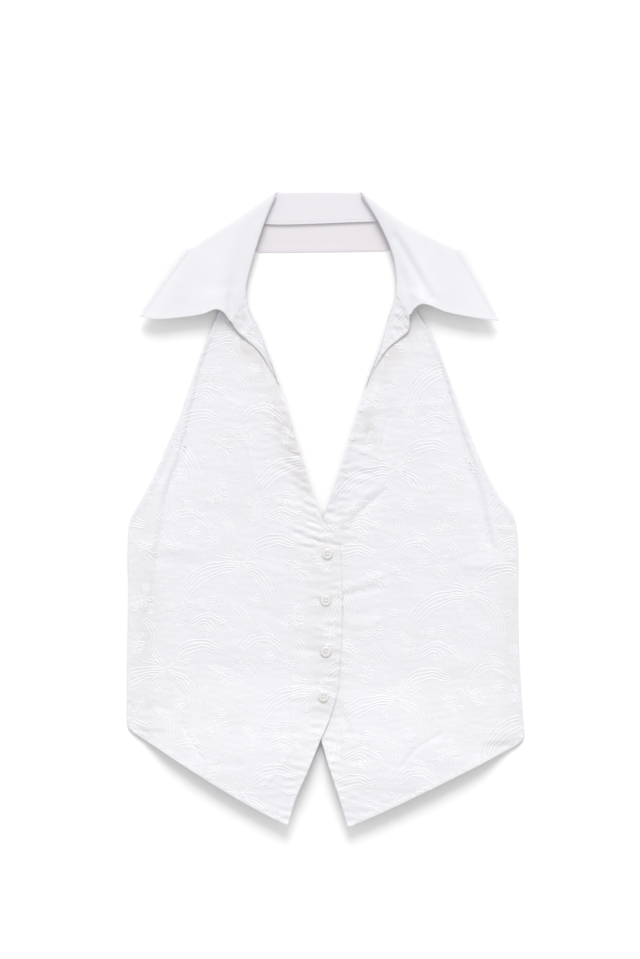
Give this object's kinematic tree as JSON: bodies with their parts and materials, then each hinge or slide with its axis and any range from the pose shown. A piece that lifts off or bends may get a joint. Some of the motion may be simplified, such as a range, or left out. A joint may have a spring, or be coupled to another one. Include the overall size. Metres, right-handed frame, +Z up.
{
  "type": "halter neck top",
  "caption": "Cropped halter neck top laid flat: two embroidered fronts buttoned down the middle, pointed hem, long pointed shirt collar, open back.",
  "frame": {"origin": "on the table under the middle of the laid garment's box", "axes": "+X to the right of the laid garment seen from above, +Y towards the collar, +Z up from the table"},
  "size_m": [0.4166, 0.666, 0.016],
  "materials": {
    "embroidered_cotton": "white cotton with raised tone-on-tone corded embroidery, matt, slightly crinkled",
    "collar_poplin": "smooth white poplin, fused, with narrow edge stitching",
    "pearl_button": "pearly off-white polyester"
  },
  "bodies": {
    "root": {"back_panel": "embroidered_cotton", "right_front": "embroidered_cotton", "left_front": "embroidered_cotton", "left_facing": "embroidered_cotton", "right_facing": "embroidered_cotton", "collar_stand": "collar_poplin", "collar_fall": "collar_poplin", "button_1": "pearl_button", "button_2": "pearl_button", "button_3": "pearl_button", "button_4": "pearl_button"}
  },
  "joints": []
}
